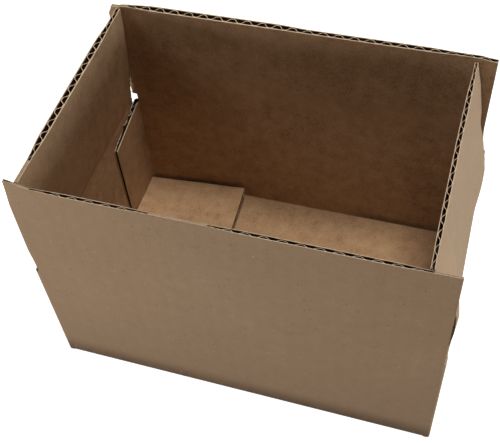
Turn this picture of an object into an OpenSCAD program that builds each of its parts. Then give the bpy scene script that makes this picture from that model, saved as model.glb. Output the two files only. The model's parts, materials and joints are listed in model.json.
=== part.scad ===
// Corrugated shipping box: one scored, slotted and glued sheet of single-wall board.
// The bottom is folded shut and the four top flaps stand open.
// Origin at the centre of the underside, X along the length, Y to the back, Z up.

/* [Inside size] */
// Clear length between the end walls
inside_length = 178; // [140:1:260]
// Clear width between the long walls
inside_width = 114; // [90:1:170]
// Depth from the floor flaps up to the crease of the end flaps
inside_depth = 62.5; // [40:0.5:140]

/* [Board] */
// Thickness of the corrugated board
board = 2.5; // [2:0.1:3.4]
// Thickness of each flat liner
liner = 0.35; // [0.2:0.05:0.5]
// Thickness of the wavy medium between the liners
medium = 0.3; // [0.2:0.05:0.4]
// Distance from one flute to the next
flute_pitch = 7.1; // [5:0.1:9]
// Width of a flute's tip that is glued to its liner
glue_line = 1.2; // [1:0.1:1.8]
// Depth to which the flutes lie open behind a cut edge
open_flute = 12; // [6:1:20]
// Inside radius of a scored fold
fold_radius = 0.5; // [0.3:0.1:1.5]

/* [Flaps] */
// Gap between the long flaps where they meet over the middle
flap_seam = 2.6; // [0.6:0.2:8]
// Side gap between an end flap and the long walls, left by the slots
slot_gap = 2; // [1.8:0.1:5]
// How far the long flaps stop short of the corner
corner_inset = 1; // [0.2:0.1:2]
// Hairline between a wall and its flap at the crease
crease_gap = 0.2; // [0.1:0.05:0.4]
// Extra angle of a crease's bevels over the plain mitre
bevel_relief = 1; // [0.5:0.5:4]
// Play between two layers of folded board
layer_gap = 0.3; // [0.2:0.05:1]

/* [Floor flaps] */
// Reach of the left floor flap from the outer face of its wall
left_floor_reach = 62.5; // [40:0.5:68]
// Reach of the right floor flap from the outer face of its wall
right_floor_reach = 58.5; // [40:0.5:68]
// Angle by which the left floor flap springs up
left_floor_rise = 6; // [0:0.5:12]
// Angle by which the left floor flap's free edge is out of square
left_floor_slant = 2.5; // [0:0.5:5]

/* [Glue tab] */
// Width of the glue tab along the left wall
tab_width = 31; // [20:1:40]
// Drop of the tab's upper end over its width
tab_taper = 5.5; // [2:0.5:12]
// Rise of the tab's lower end over its width
tab_foot_taper = 1.5; // [0.5:0.5:8]
// Room between the tab and the crease above it
tab_room = 0.6; // [0.4:0.1:3]

/* [Pose] */
// Inward lean of the front flap
front_lean = 1.3; // [0:0.1:1.5]
// Inward lean of the back flap
back_lean = 1.1; // [0:0.1:1.5]
// Inward lean of the left flap
left_lean = 4.3; // [0:0.1:20]
// Inward lean of the right flap
right_lean = 10.3; // [0:0.1:20]

/* [Hidden] */
$fn = 48;

kraft = "#a98f74";
kraft_light = "#b39a7e";

// Outer size of the box and the radius of its folds.
outer_length = inside_length + 2 * board;
outer_width = inside_width + 2 * board;
half_length = outer_length / 2;
half_width = outer_width / 2;
fold_outer = fold_radius + board;

// Levels: the end flaps fold inside the long flaps, at the floor and at the top.
score_step = board + layer_gap;
end_floor_z = score_step;
end_crease_z = end_floor_z + board + inside_depth;
long_crease_z = end_crease_z + score_step;

// All cut edges at the top lie in one line when the flaps stand upright.
long_flap = (outer_width - flap_seam) / 2;
end_flap = long_flap + score_step;
long_flap_width = outer_length - 2 * corner_inset;
end_flap_width = inside_width - 2 * slot_gap;
bevel_rise = board * tan(45 + bevel_relief);

// The glue tab ends below the closed left flap and above the left floor flap.
tab_top = end_crease_z - crease_gap / 2 - bevel_rise - tab_room;
tab_foot = end_floor_z + fold_outer;
tab_back = half_width - fold_outer;

// The upright corner folds run from the creases of the long floor flaps to those of the long top flaps.
corner_foot = board / 2;
corner_top = long_crease_z - crease_gap;

// The medium is a wave from liner to liner, and each flute is a blind hollow under one arch of it.
wave_height = (board - 2 * liner - medium) / 2;
flute_half = (flute_pitch - glue_line) / 2;
flute_steps = 6;
function wave(u) = board / 2 + wave_height * cos(360 * u / flute_pitch);

// Section of one flute that lies on the outer liner.
module flute_section() {
    arch = [
        for (k = [0 : flute_steps])
            let (u = flute_half * (1 - 2 * k / flute_steps))
            [u, wave(u) - medium / 2]
    ];
    polygon(concat([[-flute_half, liner], [flute_half, liner]], arch));
}

// Row of flutes across a width, alternating between the two liners, open at the top and depth deep.
module flute_row(width, depth) {
    count = floor((width - glue_line) / flute_pitch);
    first = -(count - 1) / 2 * flute_pitch;
    overshoot = board;
    translate([0, 0, -depth])
        linear_extrude(depth + overshoot)
            for (i = [0 : count - 1])
                translate([first + i * flute_pitch, 0]) {
                    flute_section();
                    if (i < count - 1)
                        translate([flute_pitch / 2, board])
                            mirror([0, 1])
                                flute_section();
                }
}

// Prism with its section drawn in Y and Z, run along X and centred on it.
module run_along_x(width) {
    translate([-width / 2, 0, 0])
        rotate([90, 0, 90])
            linear_extrude(width)
                children();
}

// Section of an upright leaf: outer face on the axis, bevelled on its inner side at the crease.
module leaf_section(length) {
    polygon([
        [0, crease_gap / 2],
        [board, crease_gap / 2 + bevel_rise],
        [board, length],
        [0, length]
    ]);
}

// Top flap standing on its crease line, outer face at Y = 0 and inner face towards +Y.
module top_flap(width, length) {
    difference() {
        run_along_x(width)
            leaf_section(length);
        translate([0, 0, length])
            flute_row(width, open_flute);
    }
}

// Section of a fold from an upright wall into a floor flap that rises by an angle.
module fold_section(rise) {
    reach = 2 * fold_outer;
    intersection() {
        difference() {
            circle(fold_outer);
            circle(fold_radius);
        }
        union() {
            translate([-reach, -reach])
                square(reach);
            if (rise > 0)
                rotate(rise)
                    translate([-reach, -reach])
                        square(reach);
        }
    }
}

// Section of a wall: outer face at Y = 0, from its fold at the foot to its bevelled crease.
module wall_section(foot, crease) {
    polygon([
        [0, foot + fold_outer],
        [board, foot + fold_outer],
        [board, crease - crease_gap / 2 - bevel_rise],
        [0, crease - crease_gap / 2]
    ]);
}

// Long wall with its fold and its floor flap, outer face at Y = 0.
module long_wall(width) {
    run_along_x(width) {
        wall_section(0, long_crease_z);
        translate([fold_outer, fold_outer])
            fold_section(0);
        translate([fold_outer, 0])
            square([long_flap - fold_outer, board]);
    }
}

// End wall, outer face at Y = 0, between the corner folds.
module end_wall(width) {
    run_along_x(width)
        wall_section(end_floor_z, end_crease_z);
}

// Floor flap of an end wall with its fold, its free edge cut at a slant.
module end_floor_flap(reach, rise, slant) {
    width = end_flap_width;
    spare = board + width * tan(slant);
    leaf = reach - fold_outer;
    translate([0, fold_outer, end_floor_z + fold_outer])
        difference() {
            run_along_x(width) {
                fold_section(rise);
                rotate(rise)
                    translate([0, -fold_outer])
                        square([leaf + spare, board]);
            }
            rotate([rise, 0, 0])
                translate([0, leaf, -fold_outer])
                    rotate([0, 0, slant]) {
                        translate([-width, 0, -board])
                            cube([2 * width, 2 * spare, 3 * board]);
                        translate([0, 0, board])
                            rotate([-90, 0, 0])
                                flute_row(width - 2 * board, open_flute);
                    }
        }
}

// Quarter fold of an upright corner, from the -X side round to the -Y side of its centre.
module corner_fold(foot, top) {
    translate([0, 0, foot])
        linear_extrude(top - foot)
            fold_section(0);
}

// Glue tab against the inner face of the left wall, with its fold to the back wall.
module glue_tab() {
    middle = tab_back - tab_width / 2;
    translate([-half_length + board, 0, 0]) {
        difference() {
            rotate([90, 0, 90])
                linear_extrude(board)
                    polygon([
                        [tab_back, tab_foot],
                        [tab_back, tab_top],
                        [tab_back - tab_width, tab_top - tab_taper],
                        [tab_back - tab_width, tab_foot + tab_foot_taper]
                    ]);
            translate([board, middle, tab_top])
                rotate([0, 0, 90])
                    flute_row(tab_width, tab_taper + open_flute);
        }
        translate([fold_outer, tab_back, 0])
            rotate([0, 0, -90])
                corner_fold(corner_foot, tab_top);
    }
}

// Walls, glue tab and closed bottom: one folded sheet.
module box_body() {
    corner_x = half_length - fold_outer;
    corner_y = half_width - fold_outer;
    color(kraft) {
        translate([0, -half_width, 0])
            long_wall(2 * corner_x);
        translate([board / 2, half_width, 0])
            rotate([0, 0, 180])
                long_wall(2 * corner_x - board);
        translate([half_length, 0, 0])
            rotate([0, 0, 90]) {
                end_wall(2 * corner_y);
                end_floor_flap(right_floor_reach, 0, 0);
            }
        translate([-half_length, 0, 0])
            rotate([0, 0, -90]) {
                end_wall(2 * corner_y);
                end_floor_flap(left_floor_reach, left_floor_rise, left_floor_slant);
            }
        translate([-corner_x, -corner_y, 0])
            corner_fold(corner_foot, corner_top);
        translate([corner_x, -corner_y, 0])
            rotate([0, 0, 90])
                corner_fold(corner_foot, corner_top);
        translate([corner_x, corner_y, 0])
            rotate([0, 0, 180])
                corner_fold(corner_foot, corner_top);
        glue_tab();
    }
}

// Long flap at the front, hinged on the outer face of its wall.
module front_flap() {
    color(kraft_light)
        translate([0, -half_width, long_crease_z])
            rotate([-front_lean, 0, 0])
                top_flap(long_flap_width, long_flap);
}

// Long flap at the back.
module back_flap() {
    color(kraft_light)
        translate([0, half_width, long_crease_z])
            rotate([0, 0, 180])
                rotate([-back_lean, 0, 0])
                    top_flap(long_flap_width, long_flap);
}

// End flap on the left, which folds in before the long flaps.
module left_flap() {
    color(kraft_light)
        translate([-half_length, 0, end_crease_z])
            rotate([0, 0, -90])
                rotate([-left_lean, 0, 0])
                    top_flap(end_flap_width, end_flap);
}

// End flap on the right, which folds in before the long flaps.
module right_flap() {
    color(kraft_light)
        translate([half_length, 0, end_crease_z])
            rotate([0, 0, 90])
                rotate([-right_lean, 0, 0])
                    top_flap(end_flap_width, end_flap);
}

box_body();
front_flap();
back_flap();
left_flap();
right_flap();
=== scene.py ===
"""A small corrugated shipping box, open at the top, with its four flaps standing."""
import json
import math

import bmesh
import bpy
from mathutils import Matrix, Vector


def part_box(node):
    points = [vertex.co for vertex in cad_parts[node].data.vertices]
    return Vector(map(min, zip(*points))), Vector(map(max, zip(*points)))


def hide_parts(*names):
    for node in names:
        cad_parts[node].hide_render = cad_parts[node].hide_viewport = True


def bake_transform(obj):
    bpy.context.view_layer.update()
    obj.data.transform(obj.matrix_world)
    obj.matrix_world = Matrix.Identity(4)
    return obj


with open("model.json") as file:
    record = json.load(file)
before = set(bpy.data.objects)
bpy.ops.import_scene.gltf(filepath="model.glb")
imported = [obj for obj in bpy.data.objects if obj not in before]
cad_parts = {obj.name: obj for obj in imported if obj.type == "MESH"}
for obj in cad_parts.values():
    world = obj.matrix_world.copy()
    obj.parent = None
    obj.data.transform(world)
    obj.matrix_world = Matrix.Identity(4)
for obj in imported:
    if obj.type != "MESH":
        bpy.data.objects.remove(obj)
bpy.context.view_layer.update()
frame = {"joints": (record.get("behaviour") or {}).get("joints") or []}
mm = 0.001

# The view: the box stands on a table and is seen from above its front, a little from the right.
# The camera is at arm's length and slightly tilted, with a small shift for the framing.
eye = Vector((82.6, -236.7, 387.1)) * mm
aim = Vector((-17.9, 3.4, 60.0)) * mm
camera_roll = math.radians(-6.89)
camera_data = bpy.data.cameras.new("camera")
camera_data.lens = 62.74
camera_data.shift_x = 0.0317
camera_data.shift_y = -0.0245
camera_data.clip_start = 0.01
camera = bpy.data.objects.new("camera", camera_data)
camera.location = eye
camera.rotation_mode = "QUATERNION"
camera.rotation_quaternion = (
    (aim - eye).to_track_quat("-Z", "Y") @ Matrix.Rotation(camera_roll, 3, "Z").to_quaternion()
)
bpy.context.scene.collection.objects.link(camera)
bpy.context.scene.camera = camera
bpy.context.scene.view_settings.view_transform = "Standard"


# The finishes: every material is worked out by arithmetic on the values of its own nodes.
# A Value stands for one socket, and a Finish is the tree that it lives in.
class Value:
    def __init__(self, finish, socket):
        self.finish = finish
        self.socket = socket

    def _math(self, operation, *terms):
        return self.finish.node("Math", {"operation": operation}, dict(enumerate(terms)))

    def __add__(self, other):
        return self._math("ADD", self, other)

    def __radd__(self, other):
        return self._math("ADD", other, self)

    def __sub__(self, other):
        return self._math("SUBTRACT", self, other)

    def __rsub__(self, other):
        return self._math("SUBTRACT", other, self)

    def __mul__(self, other):
        return self._math("MULTIPLY", self, other)

    def __rmul__(self, other):
        return self._math("MULTIPLY", other, self)

    def size(self):
        return self._math("ABSOLUTE", self)

    def sine(self):
        return self._math("SINE", self)

    def above(self, low, high):
        """0 below low, 1 above high, smooth between."""
        return self.finish.node(
            "MapRange",
            {"interpolation_type": "SMOOTHSTEP"},
            {"Value": self, "From Min": low, "From Max": high},
        )


class Finish:
    def __init__(self, name):
        self.material = bpy.data.materials.new(name)
        self.material.use_nodes = True
        self.tree = self.material.node_tree
        self.shader = self.tree.nodes["Principled BSDF"]

    def node(self, kind, settings=None, sockets=None, output=0):
        made = self.tree.nodes.new("ShaderNode" + kind)
        for key, setting in (settings or {}).items():
            setattr(made, key, setting)
        for key, value in (sockets or {}).items():
            self.plug(made.inputs[key], value)
        return Value(self, made.outputs[output])

    def plug(self, socket, value):
        if isinstance(value, Value):
            self.tree.links.new(value.socket, socket)
        else:
            socket.default_value = value

    def mix(self, share, first, second):
        """The colour between two colours."""
        made = self.tree.nodes.new("ShaderNodeMix")
        made.data_type = "RGBA"
        for index, value in ((0, share), (6, first), (7, second)):
            self.plug(made.inputs[index], value)
        return Value(self, made.outputs[2])


# The table and the light: a pale table top under a lamp overhead, with three weaker ones as windows.
# The table shows nearly white to the camera and still takes the box's soft shadow.
def table_finish():
    """Pale and matt, with a glow that only the camera and reflections see."""
    finish = Finish("pale_table")
    finish.shader.inputs["Base Color"].default_value = (0.42, 0.41, 0.40, 1)
    finish.shader.inputs["Roughness"].default_value = 0.9
    rays = finish.tree.nodes.new("ShaderNodeLightPath")
    seen = Value(finish, rays.outputs["Is Camera Ray"]) + Value(finish, rays.outputs["Is Glossy Ray"])
    glow = finish.node("Emission", {}, {"Color": (1, 1, 1, 1), "Strength": seen * 0.95})
    both = finish.node("AddShader", {}, {0: Value(finish, finish.shader.outputs[0]), 1: glow})
    finish.plug(finish.tree.nodes["Material Output"].inputs["Surface"], both)
    return finish.material


bpy.ops.object.select_all(action="DESELECT")
bpy.ops.mesh.primitive_plane_add(size=6, location=(0, 0, -0.2 * mm))
table = bpy.context.object
table.name = "table"
table.data.materials.append(table_finish())


def lamp(name, place, target, size, power, colour):
    """A round lamp that faces its target."""
    data = bpy.data.lights.new(name, "AREA")
    data.shape = "DISK"
    data.size = size
    data.energy = power
    data.color = colour
    made = bpy.data.objects.new(name, data)
    made.location = place
    made.rotation_mode = "QUATERNION"
    made.rotation_quaternion = (Vector(target) - Vector(place)).to_track_quat("-Z", "Y")
    bpy.context.scene.collection.objects.link(made)


lamp("overhead", (0.16, 0.08, 1.30), (0, 0, 0), 0.36, 11.4, (1.0, 0.95, 0.88))
lamp("window_right", (1.30, 0.00, 0.16), (0, 0, 0.06), 0.3, 8, (0.87, 0.95, 1.0))
lamp("window_left", (-0.42, -0.58, 0.13), (-0.05, 0, 0.06), 0.14, 1.5, (1.0, 0.99, 0.97))
lamp("window_high", (-0.90, -0.90, 1.10), (0, 0, 0.06), 0.9, 3.5, (1.0, 0.96, 0.90))

world = bpy.data.worlds.new("room")
bpy.context.scene.world = world
world.use_nodes = True
room = world.node_tree
room_rays = room.nodes.new("ShaderNodeLightPath")
room_light = room.nodes["Background"]
room_light.inputs["Color"].default_value = (1, 0.99, 0.97, 1)
room_light.inputs["Strength"].default_value = 0.05
room_white = room.nodes.new("ShaderNodeBackground")
room_white.inputs["Color"].default_value = (1, 1, 1, 1)
room_choice = room.nodes.new("ShaderNodeMixShader")
room.links.new(room_rays.outputs["Is Camera Ray"], room_choice.inputs[0])
room.links.new(room_light.outputs[0], room_choice.inputs[1])
room.links.new(room_white.outputs[0], room_choice.inputs[2])
room.links.new(room_choice.outputs[0], room.nodes["World Output"].inputs["Surface"])

# The board: two flat liners of unbleached kraft with a wavy medium glued between them.
# The paper is matt and cloudy, with fine fibres and specks, and shows its flutes as faint bands.
# Painted shade darkens the outsides of the walls towards their foot.
# The faces inside the board are painted near-black as the shade in the flutes.
board = 2.5 * mm
liner = 0.35 * mm
medium = 0.24 * mm
flute_pitch = 7.1 * mm
outer_paper = {
    "plain": (0.420, 0.282, 0.175, 1),
    "pale": (0.505, 0.358, 0.237, 1),
    "deep": (0.310, 0.196, 0.113, 1),
}
inner_paper = {
    "plain": (0.415, 0.260, 0.145, 1),
    "pale": (0.500, 0.330, 0.190, 1),
    "deep": (0.290, 0.168, 0.086, 1),
}
speck_dark = (0.120, 0.072, 0.042, 1)
speck_pale = (0.640, 0.520, 0.390, 1)
# The colour of the painted shade towards the foot of the outer walls.
painted_shade = (0.160, 0.098, 0.058, 1)


def kraft_finish(name, flute_axis, outer_face, colours, contrast):
    """Liner paper. flute_axis is the axis across the flutes, 0 for X and 1 for Y.

    Along the other axis, what lies at outer_face is the outside of a wall, given painted shade that is
    darkest at its foot.
    """
    finish = Finish(name)
    place = finish.node("TexCoord", output=3)
    parts = finish.node("SeparateXYZ", {}, {0: place})
    axes = [Value(finish, output) for output in parts.socket.node.outputs]
    across, out, height = axes[flute_axis], axes[1 - flute_axis], axes[2]

    def cloud(scale, detail=4, stretch=(1, 1, 1), turn=(0, 0, 0)):
        moved = finish.node("Mapping", {}, {"Vector": place, "Scale": stretch, "Rotation": turn})
        return finish.node(
            "TexNoise", {}, {"Vector": moved, "Scale": scale, "Detail": detail, "Roughness": 0.6}
        )

    broad = cloud(22, 3)
    mottle = cloud(170, 5)
    grain = cloud(1500, 3)
    fibre_a = cloud(420, 2, (1, 6, 6), (0.3, 0.5, 0.4)).above(0.60, 0.70)
    fibre_b = cloud(420, 2, (6, 6, 1), (0.5, -0.4, 0.7)).above(0.60, 0.70)
    fibre_c = cloud(380, 2, (6, 1, 6), (-0.4, 0.3, 0.2)).above(0.62, 0.72)

    def specks(scale, size, share):
        """Small spots: one in some of the cells of a random mesh."""
        cells = finish.node("TexVoronoi", {}, {"Vector": place, "Scale": scale, "Randomness": 1})
        near = 1 - cells.above(size * 0.4, size)
        pick = finish.node("SeparateColor", {}, {0: Value(finish, cells.socket.node.outputs["Color"])})
        return near * pick.above(1 - share, 1 - share + 0.01)

    band = (across * (2 * math.pi / flute_pitch)).sine()
    cloudy = (mottle - 0.5) * 0.55 + (broad - 0.5) * 0.35 + (grain - 0.5) * 0.80
    tone = 0.5 + cloudy * contrast + band * 0.02
    paper = finish.mix(tone.above(0.1, 0.5), colours["deep"], colours["plain"])
    paper = finish.mix(tone.above(0.5, 0.9), paper, colours["pale"])
    paper = finish.mix(fibre_a * 0.30, paper, colours["pale"])
    paper = finish.mix(fibre_b * 0.30, paper, colours["deep"])
    paper = finish.mix(fibre_c * 0.22, paper, colours["pale"])
    # Painted shade on the outsides of the walls: strongest and mottled within 15 mm of the foot, and a
    # weaker darkening that fades out by 80 mm up.
    outside = out.size().above(outer_face - 1 * mm, outer_face - 0.4 * mm)
    foot_shade = (1 - height.above(0.5 * mm, 15 * mm)) * (0.3 + broad * 0.6 + mottle * 0.4)
    low_shade = (1 - height.above(20 * mm, 80 * mm)) * 0.14
    paper = finish.mix(outside * (foot_shade + low_shade), paper, painted_shade)
    paper = finish.mix(specks(420, 0.20, 0.10) * 0.75, paper, speck_dark)
    paper = finish.mix(specks(300, 0.16, 0.07) * 0.65, paper, speck_pale)
    finish.plug(finish.shader.inputs["Base Color"], paper)
    finish.plug(finish.shader.inputs["Roughness"], 0.80 + (mottle - 0.5) * 0.2)
    fuzz = band * 0.25 + grain * 0.7 + fibre_a * 0.5 + fibre_c * 0.4 + mottle * 0.4
    relief = finish.node("Bump", {}, {"Height": fuzz, "Strength": 0.35, "Distance": 0.06 * mm})
    finish.plug(finish.shader.inputs["Normal"], relief)
    finish.shader.inputs["Specular IOR Level"].default_value = 0.25
    return finish.material


def pulp_finish(name, pale, deep):
    """Paper without a calendered face, in the colours given: the pale cut edges, and the near-black
    painted shade inside the board.
    """
    finish = Finish(name)
    place = finish.node("TexCoord", output=3)
    grain = finish.node("TexNoise", {}, {"Vector": place, "Scale": 900, "Detail": 4})
    finish.plug(finish.shader.inputs["Base Color"], finish.mix(grain.above(0.3, 0.7), deep, pale))
    relief = finish.node("Bump", {}, {"Height": grain, "Strength": 0.5, "Distance": 0.08 * mm})
    finish.plug(finish.shader.inputs["Normal"], relief)
    finish.shader.inputs["Roughness"].default_value = 0.92
    finish.shader.inputs["Specular IOR Level"].default_value = 0.15
    return finish.material


cut_edge = pulp_finish("cut_edge", (0.72, 0.57, 0.42, 1), (0.56, 0.43, 0.30, 1))
side_edge = pulp_finish("side_edge", (0.50, 0.36, 0.24, 1), (0.34, 0.235, 0.15, 1))
pressed_edge = pulp_finish("pressed_edge", (0.40, 0.300, 0.210, 1), (0.31, 0.225, 0.150, 1))
# The medium and the liners' backs inside the board are painted near-black: painted shade of the flute
# hollows, not the paper's own colour.
flute_shade = pulp_finish("flute_shade", (0.085, 0.040, 0.022, 1), (0.055, 0.024, 0.013, 1))
body_low, body_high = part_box("box_body")
outer_contrast = 1.0
inner_contrast = 2.1
long_outer = kraft_finish("long_outer", 0, body_high.y, outer_paper, outer_contrast)
long_inner = kraft_finish("long_inner", 0, body_high.y, inner_paper, inner_contrast)
end_outer = kraft_finish("end_outer", 1, body_high.x, outer_paper, outer_contrast)
end_inner = kraft_finish("end_inner", 1, body_high.x, inner_paper, inner_contrast)


# One panel of the sheet: top flap, wall and floor flap in one run, with the crease and the fold between.
# It is modelled upright in the XZ plane, outer face forward, then folded, squeezed and set in its place.
fold_radius = 0.5 * mm
fold_outer = fold_radius + board
outer_bend = 1.4 * mm
crease_gap = 0.2 * mm
crease_bend = 4 * mm
crease_rows = 8
fold_steps = 8
flute_open = 24 * mm
flute_sunk = 0.15 * mm
flute_room = 0.6 * mm
side_inset = 0.4 * mm
shut_share = 0.6
pressed_share = 0.3
slack = 0.01 * mm


def choose(test):
    """Selects, in edit mode, the vertices whose place passes the test."""
    mesh = bmesh.from_edit_mesh(bpy.context.object.data)
    for vertex in mesh.verts:
        vertex.select_set(test(vertex.co))
    mesh.select_mode = {"VERT"}
    mesh.select_flush_mode()
    bmesh.update_edit_mesh(bpy.context.object.data)


def near(a, b):
    """Whether two measures are the same but for rounding."""
    return abs(a - b) < 2 * slack


def pull(move, steps=1):
    """Extrudes the chosen edge in equal steps."""
    step = Vector(move) / steps
    for _ in range(steps):
        bpy.ops.mesh.extrude_region_move(TRANSFORM_OT_translate={"value": step})


def apply_all(made):
    """Makes an object's modifiers and its place part of its mesh."""
    bpy.ops.object.mode_set(mode="OBJECT")
    for modifier in list(made.modifiers):
        bpy.ops.object.modifier_apply(modifier=modifier.name)
    bpy.ops.object.transform_apply(location=True, rotation=True, scale=True)


def liner_sheet(depth, size):
    """One liner of a panel, its face set in from the outer face by depth, thickened to the middle."""
    bpy.ops.object.select_all(action="DESELECT")
    rim = size["crease"] + size["flap_length"]
    first = 1.0 * mm
    bpy.ops.mesh.primitive_grid_add(
        x_subdivisions=size["columns"],
        y_subdivisions=1,
        size=1,
        rotation=(math.pi / 2, 0, 0),
        location=(0, depth, rim - first / 2),
    )
    sheet = bpy.context.object
    sheet.scale = (size["flap_width"], first, 1)
    bpy.ops.object.transform_apply(location=True, rotation=True, scale=True)
    bpy.ops.object.mode_set(mode="EDIT")
    choose(lambda p: near(p.z, rim - first))
    bend_top = size["crease"] + crease_bend
    pull((0, 0, bend_top - rim + first), 14)
    pull((0, 0, crease_gap / 2 - crease_bend), crease_rows)
    pull((0, 0, -crease_gap))
    wall_middle = (size["wall_left"] + size["wall_right"]) / 2
    wall_share = (size["wall_right"] - size["wall_left"]) / size["flap_width"]
    bpy.ops.transform.resize(value=(wall_share, 1, 1), center_override=(0, 0, 0))
    bpy.ops.transform.translate(value=(wall_middle, 0, 0))
    level = size["crease"] - crease_gap / 2
    for stop in size["levels"]:
        pull((0, 0, stop - level), 1 if level - stop < 8 * mm else 6)
        level = stop
    bend = outer_bend if depth == 0 else fold_outer
    if bend < fold_outer:
        pull((0, 0, bend - fold_outer))
    bpy.ops.mesh.spin(
        steps=fold_steps,
        angle=math.pi / 2 + size["floor_rise"],
        center=(0, bend, size["foot"] + bend),
        axis=(-1, 0, 0),
    )
    floor_run = size["floor_reach"] - bend
    leaf = Vector((0, math.cos(size["floor_rise"]), math.sin(size["floor_rise"]))) * floor_run
    pull(leaf, 8)
    for side, top, foot, shape_side in size["sides"]:
        edge = size["wall_left"] if side < 0 else size["wall_right"]
        choose(lambda p: near(p.x, edge) and foot - slack < p.z < top + slack and near(p.y, depth))
        shape_side(side, edge, bend)
    bpy.ops.mesh.select_all(action="SELECT")
    bpy.ops.mesh.normals_make_consistent(inside=False)
    bpy.ops.object.mode_set(mode="OBJECT")
    outward = -1 if depth == 0 else 1
    if sheet.data.polygons[0].normal.y * outward < 0:
        sheet.data.flip_normals()
    paper = sheet.modifiers.new("paper", "SOLIDIFY")
    paper.thickness = liner
    paper.offset = -1
    paper.use_even_offset = True
    paper.material_offset_rim = 1
    paper.material_offset = 2
    sheet.data.materials.append(size["outer"] if depth == 0 else size["inner"])
    sheet.data.materials.append(cut_edge)
    # The liner's back, inside the board, takes the near-black painted shade of the flutes.
    sheet.data.materials.append(flute_shade)
    apply_all(sheet)
    return sheet


def round_wave(turn):
    """A wave with round arches and steep flanks."""
    return math.copysign(abs(math.cos(turn)) ** 0.6, math.cos(turn))


def flute_strip(width, length):
    """Medium behind a cut edge: the edge lies along X at height 0, and the flutes run down from it."""
    steps = 16
    count = math.ceil(width / flute_pitch) + 1
    swing = (board - 2 * liner - medium) / 2
    bpy.ops.object.select_all(action="DESELECT")
    bpy.ops.mesh.primitive_plane_add(size=1 * mm, location=(0, 0, 0))
    strip = bpy.context.object
    bpy.ops.object.mode_set(mode="EDIT")
    bpy.ops.mesh.select_all(action="SELECT")
    bpy.ops.mesh.merge(type="CENTER")
    bpy.ops.transform.translate(value=(-count * flute_pitch / 2, board / 2 + swing, 0))
    for k in range(steps):
        before, after = (swing * round_wave(2 * math.pi * i / steps) for i in (k, k + 1))
        pull((flute_pitch / steps, after - before, 0))
    bpy.ops.object.mode_set(mode="OBJECT")
    row = strip.modifiers.new("row", "ARRAY")
    row.count = count
    row.use_relative_offset = False
    row.use_constant_offset = True
    row.constant_offset_displace = (flute_pitch, 0, 0)
    row.use_merge_vertices = True
    row.merge_threshold = slack
    apply_all(strip)
    bpy.ops.object.mode_set(mode="EDIT")
    bpy.ops.mesh.select_all(action="SELECT")
    pull((0, 0, -length), 6)
    for side in (-1, 1):
        bpy.ops.mesh.select_all(action="SELECT")
        bpy.ops.mesh.bisect(
            plane_co=(side * width / 2, 0, 0), plane_no=(side, 0, 0), clear_outer=True
        )
    bpy.ops.object.mode_set(mode="OBJECT")
    paper = strip.modifiers.new("paper", "SOLIDIFY")
    paper.thickness = medium
    paper.offset = 0
    paper.material_offset_rim = 1
    # The medium's faces take the near-black painted shade of the flutes, and its cut edge takes the pale
    # cut paper.
    strip.data.materials.append(flute_shade)
    strip.data.materials.append(cut_edge)
    apply_all(strip)
    return strip


def side_strip(x, low, high):
    """The flute that closes a cut edge which runs along the flutes."""
    bpy.ops.object.select_all(action="DESELECT")
    bpy.ops.mesh.primitive_grid_add(
        x_subdivisions=1,
        y_subdivisions=48,
        size=1,
        rotation=(math.pi / 2, 0, math.pi / 2),
        location=(x, board / 2, (low + high) / 2),
    )
    strip = bpy.context.object
    strip.scale = (board - liner, high - low, 1)
    bpy.ops.object.transform_apply(location=True, rotation=True, scale=True)
    strip.data.materials.append(side_edge)
    return strip


def crushed_pulp(middle, half, rim):
    """A place at the cut edge where the medium is crushed to a solid strip."""
    bpy.ops.object.select_all(action="DESELECT")
    bpy.ops.mesh.primitive_grid_add(
        x_subdivisions=8, y_subdivisions=1, size=1, location=(middle, board / 2, rim - 0.12 * mm)
    )
    strip = bpy.context.object
    strip.scale = (2 * half, board - liner, 1)
    bpy.ops.object.transform_apply(location=True, rotation=True, scale=True)
    strip.data.materials.append(pressed_edge)
    return strip


def set_down(made, turn, place):
    """Turns and moves a finished mesh to its place in the frame, with its object left at the origin."""
    bpy.ops.object.select_all(action="DESELECT")
    made.select_set(True)
    bpy.context.view_layer.objects.active = made
    made.rotation_euler = turn
    made.location = place
    bpy.ops.object.transform_apply(location=True, rotation=True, scale=True)


def join(name, pieces):
    """Makes one mesh of several."""
    bpy.ops.object.select_all(action="DESELECT")
    for piece in pieces:
        piece.select_set(True)
    bpy.context.view_layer.objects.active = pieces[0]
    bpy.ops.object.join()
    joined = bpy.context.object
    joined.name = name
    joined.data.name = name
    return joined


def fading(reach):
    """Settings with which an edit fades out over a reach around the chosen vertices."""
    return {
        "use_proportional_edit": True,
        "proportional_edit_falloff": "SMOOTH",
        "proportional_size": reach,
    }


def squeeze(crushed, rim):
    """Crushes or splays the cut edge: at each place the liners' gap becomes a share of itself."""
    for middle, half, share in crushed:
        choose(lambda p: abs(p.x - middle) <= half and p.z > rim - 0.5 * mm)
        still = board / 2 if share < 1 else board
        bpy.ops.transform.resize(
            value=(1, share, 1), center_override=(middle, still, rim), **fading(14 * mm)
        )


def press_slots(size):
    """Presses the edges of the slots thin beside the crease, where the sheet was punched."""
    crease = size["crease"]
    edge = size["flap_width"] / 2 - 0.5 * mm
    choose(lambda p: abs(p.x) > edge and -8 * mm < p.z - crease < size["pressed"])
    bpy.ops.transform.resize(
        value=(1, pressed_share, 1), center_override=(0, board / 2, crease), **fading(7 * mm)
    )


def nudge(test, move, reach):
    """Pushes the chosen part of a panel a little, and what lies within reach of it less and less."""
    choose(test)
    bpy.ops.transform.translate(value=move, **fading(reach))


def lean(crease, angle):
    """Bends the flap inwards a little at each row of the crease."""
    done = 0
    for row in range(1, crease_rows + 1):
        share = row / crease_rows
        wanted = angle * share * share * (3 - 2 * share)
        level = crease + crease_gap / 2 + (row - 0.5) / crease_rows * (crease_bend - crease_gap / 2)
        choose(lambda p: p.z > level)
        bpy.ops.transform.rotate(value=wanted - done, orient_axis="X", center_override=(0, 0, crease))
        done = wanted


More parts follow.
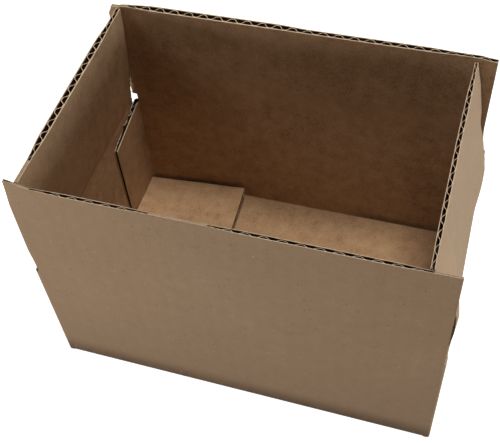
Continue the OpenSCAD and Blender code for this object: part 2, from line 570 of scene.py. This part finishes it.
def folded_panel(name, size, crushed, lean_angle, wear, turn, place, extra):
    """Both liners and the medium of a panel, crushed at its rim, bent at its crease and set in place.

    Each crushed place of the rim is its middle along X, half its width and the share of the gap left.
    """
    rim = size["crease"] + size["flap_length"]
    strip = flute_strip(size["flap_width"] - flute_room, flute_open)
    set_down(strip, (0, 0, 0), (0, 0, rim - size["sunk"]))
    inset = size["flap_width"] / 2 - side_inset
    sides = [side_strip(x, size["side_foot"], rim - 0.2 * mm) for x in (-inset, inset)]
    pulp = [crushed_pulp(x, half, rim) for x, half, share in crushed if share < shut_share]
    panel = join(name, [liner_sheet(0, size), liner_sheet(board, size), strip, *sides, *pulp, *extra])
    bpy.ops.object.mode_set(mode="EDIT")
    squeeze(crushed, rim)
    if size["pressed"]:
        press_slots(size)
    lean(size["crease"], lean_angle)
    wear(size["crease"], rim)
    bpy.ops.object.mode_set(mode="OBJECT")
    set_down(panel, turn, place)
    bpy.ops.object.shade_smooth_by_angle(angle=math.radians(32))
    return panel


creases = {joint["child"]: Vector(joint["pos_m"]) for joint in frame["joints"]}


def hang(panel, flap):
    """Bakes a panel's place into its mesh and hides the CAD flap and the box body, which the panels
    stand in for.
    """
    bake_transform(panel)
    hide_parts(flap, "box_body")


# The front panel carries both front corners of the box, folded a quarter turn round onto the end walls.
# Its cut edge is pressed, and crushed nearly shut in three places.
seam = 2.6 * mm
long_flap = body_high.y - seam / 2
corner_half = body_high.x - fold_outer
corner_top = creases["front_flap"].z - crease_gap
corner_foot = 0.5 * mm
lap = 1.5 * mm


def quarter_turn(side, edge, bend):
    """Folds the chosen edge of a wall round an upright corner."""
    spare = fold_outer - bend
    if spare:
        pull((side * spare, 0, 0))
    bpy.ops.mesh.spin(
        steps=fold_steps,
        angle=math.pi / 2,
        center=(edge + side * spare, bend, 0),
        axis=(0, 0, -side),
    )
    if spare:
        pull((0, spare, 0))


def run_down(side, edge, bend):
    """Takes a corner's fold down to the crease of the floor flap."""
    choose(
        lambda p: near(p.z, fold_outer)
        and (p.x - edge) * side > -slack
        and p.y < bend + 2 * slack
    )
    pull((0, 0, corner_foot - fold_outer))


def corner(side, edge, bend):
    """A corner of the box, with a short lap onto the end wall."""
    quarter_turn(side, edge, bend)
    pull((0, lap, 0))
    run_down(side, edge, bend)


def flare_slot(crease, side, cut):
    """The slot beside a long flap widens a little at its crease."""
    choose(lambda p: p.z < crease)
    bpy.ops.mesh.hide()
    slot_edge = 89.5 * mm
    nudge(lambda p: side * p.x > slot_edge and p.z < crease + 5 * mm, (-side * cut, 0, 0), 12 * mm)
    bpy.ops.mesh.reveal(select=False)


def curl_tip(crease, rim):
    """The slot at the flap's left side is widened, and the tip above it is curled inwards."""
    flare_slot(crease, -1, 0.9 * mm)
    nudge(lambda p: p.x < -90.2 * mm and p.z > rim - 3 * mm, (-0.9 * mm, 1.5 * mm, 0.5 * mm), 11 * mm)


front_size = {
    "columns": 52,
    "crease": creases["front_flap"].z,
    "flap_length": long_flap,
    "flap_width": 2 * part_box("front_flap")[1].x,
    "sunk": 0.5 * mm,
    "pressed": 0,
    "side_foot": creases["front_flap"].z,
    "wall_left": -corner_half,
    "wall_right": corner_half,
    "foot": 0,
    "levels": [corner_top, fold_outer],
    "floor_rise": 0,
    "floor_reach": long_flap,
    "sides": [(-1, corner_top, fold_outer, corner), (1, corner_top, fold_outer, corner)],
    "outer": long_outer,
    "inner": long_inner,
}
front_panel = folded_panel(
    "front_panel",
    front_size,
    [(0, 95 * mm, 0.72), (-83 * mm, 4 * mm, 0.5), (-16.5 * mm, 12 * mm, 0.5), (85.4 * mm, 5 * mm, 0.5)],
    math.radians(1.3),
    curl_tip,
    (0, 0, 0),
    (0, body_low.y, 0),
    [],
)
hang(front_panel, "front_flap")

# The back panel carries the back right corner and, at the back left, the glue tab with its slanted ends,
# which is folded round inside the left wall and glued to it. Its cut edge is splayed.
layer = board + 0.3 * mm
end_wall_top = creases["left_flap"].z - crease_gap / 2
end_fold_top = layer + fold_outer
tab_width = 31 * mm
tab_taper = 5.5 * mm
tab_foot_taper = 1.5 * mm
tab_room = 0.6 * mm
tab_top = end_wall_top - board * math.tan(math.radians(46)) - tab_room
tab_foot = end_fold_top
tab_edge = corner_half - board


def glue_tab(side, edge, bend):
    """The tab round its corner, narrowed to its free end."""
    quarter_turn(side, edge, bend)
    run_down(side, edge, bend)
    choose(
        lambda p: near(p.y, fold_outer)
        and (p.x - edge) * side > 0.1 * mm
        and p.z > tab_foot - slack
    )
    pull((-side * (fold_outer - bend) / 2, tab_width, 0))
    height = tab_top - tab_foot
    lost = tab_taper + tab_foot_taper
    bpy.ops.transform.resize(
        value=(1, 1, 1 - lost / height), center_override=(0, 0, tab_top - tab_taper * height / lost)
    )


def tab_flutes():
    """The tab's medium, its flutes upright and cut off at a slant."""
    strip = flute_strip(tab_width - 1 * mm, flute_open)
    set_down(
        strip,
        (0, 0, math.pi / 2),
        (tab_edge + fold_outer, fold_outer + tab_width / 2, tab_top - flute_sunk),
    )
    bpy.ops.object.mode_set(mode="EDIT")
    bpy.ops.mesh.select_all(action="SELECT")
    bpy.ops.mesh.bisect(
        plane_co=(0, fold_outer, tab_top - flute_sunk),
        plane_no=(0, tab_taper, tab_width),
        clear_outer=True,
    )
    bpy.ops.object.mode_set(mode="OBJECT")
    return strip


def shift_back(crease, rim):
    """The back is racked a little to the left, its flap and the wall's end with the tab.

    The flap's slots are widened and both its tips rounded.
    """
    for side in (-1, 1):
        flare_slot(crease, side, 0.7 * mm)
    nudge(lambda p: p.z > crease + 16 * mm, (1.8 * mm, 0, 0), 16 * mm)
    tip = rim - 0.5 * mm
    nudge(lambda p: p.x > 88 * mm and p.z > tip, (-1.6 * mm, 0, -0.9 * mm), 5 * mm)
    nudge(lambda p: p.x < -86.5 * mm and p.z > tip, (0, 0, -0.9 * mm), 5 * mm)
    choose(lambda p: p.z > crease)
    bpy.ops.mesh.hide()
    nudge(lambda p: p.x > tab_edge - 1 * mm, (1.4 * mm, 0, 0), 110 * mm)
    bpy.ops.mesh.reveal(select=False)


back_size = {
    **front_size,
    "crease": creases["back_flap"].z,
    "sunk": flute_sunk,
    "wall_right": tab_edge,
    "levels": [corner_top, tab_top, tab_foot, fold_outer],
    "sides": [(-1, corner_top, fold_outer, corner), (1, tab_top, fold_outer, glue_tab)],
}
back_panel = folded_panel(
    "back_panel",
    back_size,
    [(0, 95 * mm, 1.2), (45 * mm, 38 * mm, 1.25), (-82.4 * mm, 8 * mm, 0.65), (85.4 * mm, 5 * mm, 0.5)],
    math.radians(1.1),
    shift_back,
    (0, 0, math.pi),
    (0, body_high.y, 0),
    [tab_flutes()],
)
hang(back_panel, "back_flap")


# The left panel folds in before the long ones, so its crease and floor flap lie one layer further in.
# The floor flap springs up from the floor, and its free edge is cut a little out of square.
end_flap = long_flap + layer
end_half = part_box("left_flap")[1].y


def cut_end(side, edge, bend):
    """The wall's end behind the tab, which laps past its flap."""
    pull((side * lap, 0, 0))


def floor_flutes(size):
    """Medium at the free edge of an end panel's floor flap."""
    rise = size["floor_rise"]
    along = Vector((0, math.cos(rise), math.sin(rise)))
    up = Vector((0, -math.sin(rise), math.cos(rise)))
    hinge = Vector((0, fold_outer, size["foot"] + fold_outer))
    free_edge = hinge - up * fold_radius + along * (size["floor_reach"] - fold_outer - flute_sunk)
    strip = flute_strip(size["flap_width"] - flute_room, flute_open)
    set_down(strip, (rise - math.pi / 2, 0, 0), free_edge)
    return strip


def shape_left(crease, rim):
    """The wall gives way to the tab behind it, and the floor flap's free edge is out of square."""
    nudge(lambda p: p.x < -26 * mm and 8 * mm < p.z < 63 * mm, (0, -1.4 * mm, 0), 8 * mm)
    floor_top = 25 * mm
    choose(lambda p: p.y > 60 * mm and p.z < floor_top)
    bpy.ops.transform.rotate(
        value=-math.radians(2.5), orient_axis="Z", center_override=(0, 62 * mm, 0), **fading(24 * mm)
    )
    nudge(lambda p: p.y > 58 * mm and p.z < floor_top, (0, 1.5 * mm, 0), 24 * mm)


left_size = {
    "columns": 34,
    "crease": creases["left_flap"].z,
    "flap_length": end_flap,
    "flap_width": 2 * end_half,
    "sunk": flute_sunk,
    "pressed": 12 * mm,
    "side_foot": end_fold_top,
    "wall_left": -end_half,
    "wall_right": end_half,
    "foot": layer,
    "levels": [end_wall_top - 2 * mm, end_fold_top],
    "floor_rise": math.radians(6),
    "floor_reach": 62.5 * mm,
    "sides": [(-1, end_wall_top, end_fold_top, cut_end)],
    "outer": end_outer,
    "inner": end_inner,
}
left_panel = folded_panel(
    "left_panel",
    left_size,
    [(0, 60 * mm, 1.35), (48.9 * mm, 6 * mm, 0.5), (-52 * mm, 8 * mm, 0.6)],
    math.radians(4.3),
    shape_left,
    (0, 0, -math.pi / 2),
    (body_low.x, 0, 0),
    [floor_flutes(left_size), side_strip(side_inset - end_half - lap, end_fold_top, end_wall_top)],
)
hang(left_panel, "left_flap")


# The right panel leans in the most, and its flap bows outwards at both ends.
# Its floor flap is shorter than the left one and lies flat.
def shape_right(crease, rim):
    """The flap is twisted a little outwards at the back, and bows out most at the front."""
    bow_low, bow_high = crease + 27 * mm, crease + 32 * mm
    foot_low, foot_high = crease - 2 * mm, crease + 10 * mm
    nudge(lambda p: p.x > 53 * mm and p.z > rim - 6 * mm, (0, -0.5 * mm, 0), 50 * mm)
    nudge(lambda p: p.x < -50 * mm and bow_low < p.z < bow_high, (0, -5.5 * mm, 0), 30 * mm)
    nudge(lambda p: p.x > 42 * mm and foot_low < p.z < foot_high, (0, -1.3 * mm, 0), 20 * mm)


right_size = {
    **left_size,
    "pressed": 26 * mm,
    "floor_rise": 0,
    "floor_reach": 58.5 * mm,
    "sides": [],
}
right_panel = folded_panel(
    "right_panel",
    right_size,
    [(0, 60 * mm, 0.85), (-54 * mm, 3 * mm, 0.8), (53 * mm, 4 * mm, 0.65)],
    math.radians(10.3),
    shape_right,
    (0, 0, math.pi / 2),
    (body_high.x, 0, 0),
    [floor_flutes(right_size)],
)
hang(right_panel, "right_flap")
